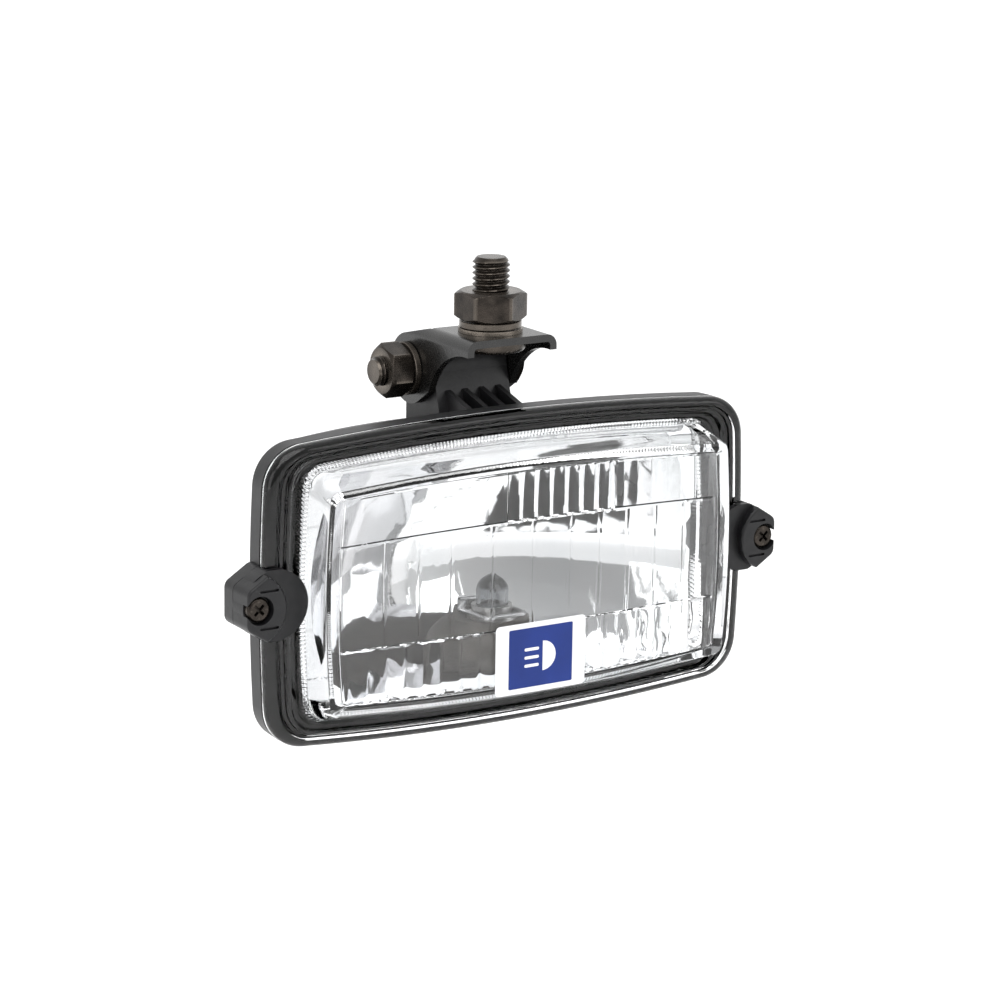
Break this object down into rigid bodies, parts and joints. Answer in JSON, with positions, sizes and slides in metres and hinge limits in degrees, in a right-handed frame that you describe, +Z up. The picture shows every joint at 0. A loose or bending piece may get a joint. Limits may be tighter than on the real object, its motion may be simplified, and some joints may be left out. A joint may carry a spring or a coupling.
{
  "type": "fog light",
  "caption": "Rectangular fog light in a black plastic housing that tilts in a steel bracket and hangs from one threaded stud.",
  "frame": {"origin": "on the mounting stud's axis, at the bracket's top face, where the lamp seats against the vehicle", "axes": "+Z up along the stud, +X along the lamp's width, and the glass faces -Y"},
  "size_m": [0.1652, 0.0755, 0.1245],
  "materials": {
    "lens_glass": "clear pressed glass with moulded optics",
    "seal_rubber": "matt moulded rubber",
    "housing_plastic": "black moulded plastic, finely textured",
    "clip_plastic": "black moulded plastic",
    "black_zinc": "dark bronze-black zinc plating",
    "plain_steel": "bright zinc-plated steel",
    "bracket_paint": "semi-gloss black paint on pressed steel",
    "label_vinyl": "white vinyl with a blue panel",
    "reflector_metal": "bright metallised bowl",
    "socket_plastic": "brown-grey heat-proof moulding",
    "bulb_metal": "nickel-plated steel",
    "bulb_glass": "clear quartz with a dark cap",
    "filament_tungsten": "coiled tungsten",
    "brass": "tinned brass"
  },
  "bodies": {
    "stud_mount": {"mounting_stud": "black_zinc", "stud_nut": "black_zinc", "stud_spring_washer": "black_zinc", "stud_flat_washer": "black_zinc"},
    "bracket": {"bracket": "bracket_paint", "pivot_bolt": "black_zinc", "pivot_nut": "black_zinc", "pivot_spring_washer": "black_zinc"},
    "lamp": {"lens": "lens_glass", "lens_seal": "seal_rubber", "housing": "housing_plastic", "pivot_sleeve": "plain_steel", "left_lens_clip": "clip_plastic", "right_lens_clip": "clip_plastic", "left_clip_screw": "black_zinc", "right_clip_screw": "black_zinc", "front_label": "label_vinyl", "reflector": "reflector_metal", "bulb_socket": "socket_plastic", "bulb_base": "bulb_metal", "bulb_glass": "bulb_glass", "bulb_filament": "filament_tungsten", "bulb_terminal": "brass", "feed_connector": "brass", "bulb_spring_clip": "plain_steel", "spring_clip_screw": "plain_steel", "earth_tab": "brass", "cable_grommet": "seal_rubber"}
  },
  "joints": [
    {"name": "bracket_swivel", "type": "hinge", "parent": "stud_mount", "child": "bracket", "pos_m": [0, 0, 0], "axis": [0, 0, 1], "continuous": true},
    {"name": "lamp_tilt", "type": "hinge", "parent": "bracket", "child": "lamp", "pos_m": [0, 0.019, -0.0121], "axis": [1, 0, 0], "range_deg": [-18, 25]}
  ]
}
